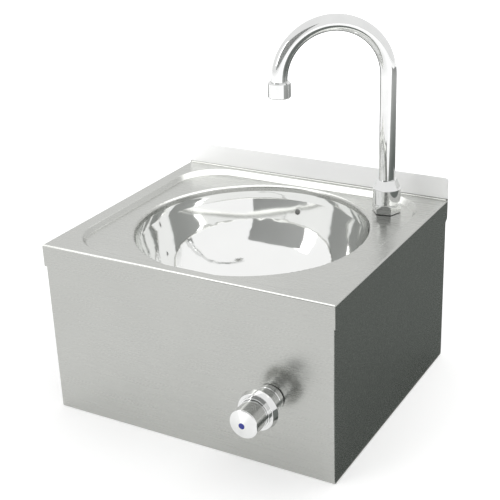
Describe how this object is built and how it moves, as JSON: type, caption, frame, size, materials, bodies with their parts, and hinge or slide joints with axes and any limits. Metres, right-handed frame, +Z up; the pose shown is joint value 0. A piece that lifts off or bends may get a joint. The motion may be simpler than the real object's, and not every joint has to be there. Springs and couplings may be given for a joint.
{
  "type": "hand wash sink",
  "caption": "Wall-hung stainless steel hand wash sink with a round bowl, splash upstand, gooseneck spout and self-closing push valve on the front panel.",
  "frame": {"origin": "midway between the two slots of the wall bracket, on the wall plane (the bracket's back face)", "axes": "+X to the right of a person at the sink, +Y into the wall, -Y towards the person, +Z up; the deck lies at z = 0.070 m"},
  "size_m": [0.4, 0.4151, 0.4866],
  "materials": {
    "steel_satin": "satin ground",
    "steel_plain": "plain mill finish",
    "steel_mirror": "mirror polished",
    "chrome": "bright chrome plate",
    "brass": "machined",
    "spring_steel": "drawn wire",
    "rubber": "matt black",
    "white_plastic": "moulded",
    "blue_plastic": "glossy insert"
  },
  "bodies": {
    "sink": {"deck_top": "steel_satin", "casing": "steel_satin", "rear_rail": "steel_plain", "wall_bracket": "steel_plain", "spout_washer": "steel_plain", "valve_washer": "steel_plain", "waste_strainer": "steel_plain", "waste_screw": "steel_plain", "bowl": "steel_mirror", "spout_base": "chrome", "spout_nut": "chrome", "valve_barrel": "chrome", "valve_bonnet": "chrome", "feed_pipe": "chrome", "feed_nut_valve": "chrome", "feed_nut_spout": "chrome", "spout_lock_nut": "brass", "valve_body": "brass", "valve_lock_nut": "brass", "button_spring": "spring_steel", "spout_gasket": "rubber", "valve_gasket": "rubber", "feed_gasket_valve": "rubber", "feed_gasket_spout": "rubber", "waste_gasket": "rubber", "waste_seal": "rubber", "swivel_washer": "white_plastic", "valve_cartridge": "white_plastic", "waste_body": "white_plastic"},
    "spout": {"spout_tube": "chrome", "spout_tail": "brass", "spout_o_rings": "rubber", "aerator_housing": "chrome", "aerator_insert": "white_plastic", "aerator_seal": "rubber"},
    "button": {"push_button": "chrome", "button_dot": "blue_plastic", "valve_stem": "brass", "stem_seal": "rubber"}
  },
  "joints": [
    {"name": "spout_swivel", "type": "hinge", "parent": "sink", "child": "spout", "pos_m": [0.1359, -0.055, 0.1], "axis": [0, 0, 1], "range_deg": [-50, 150]},
    {"name": "button_push", "type": "slide", "parent": "sink", "child": "button", "axis": [0, 1, 0], "range_m": [0, 0.0075], "stiffness_N_per_m": 1500, "springref_m": -0.006, "deforming": ["button_spring"]}
  ]
}
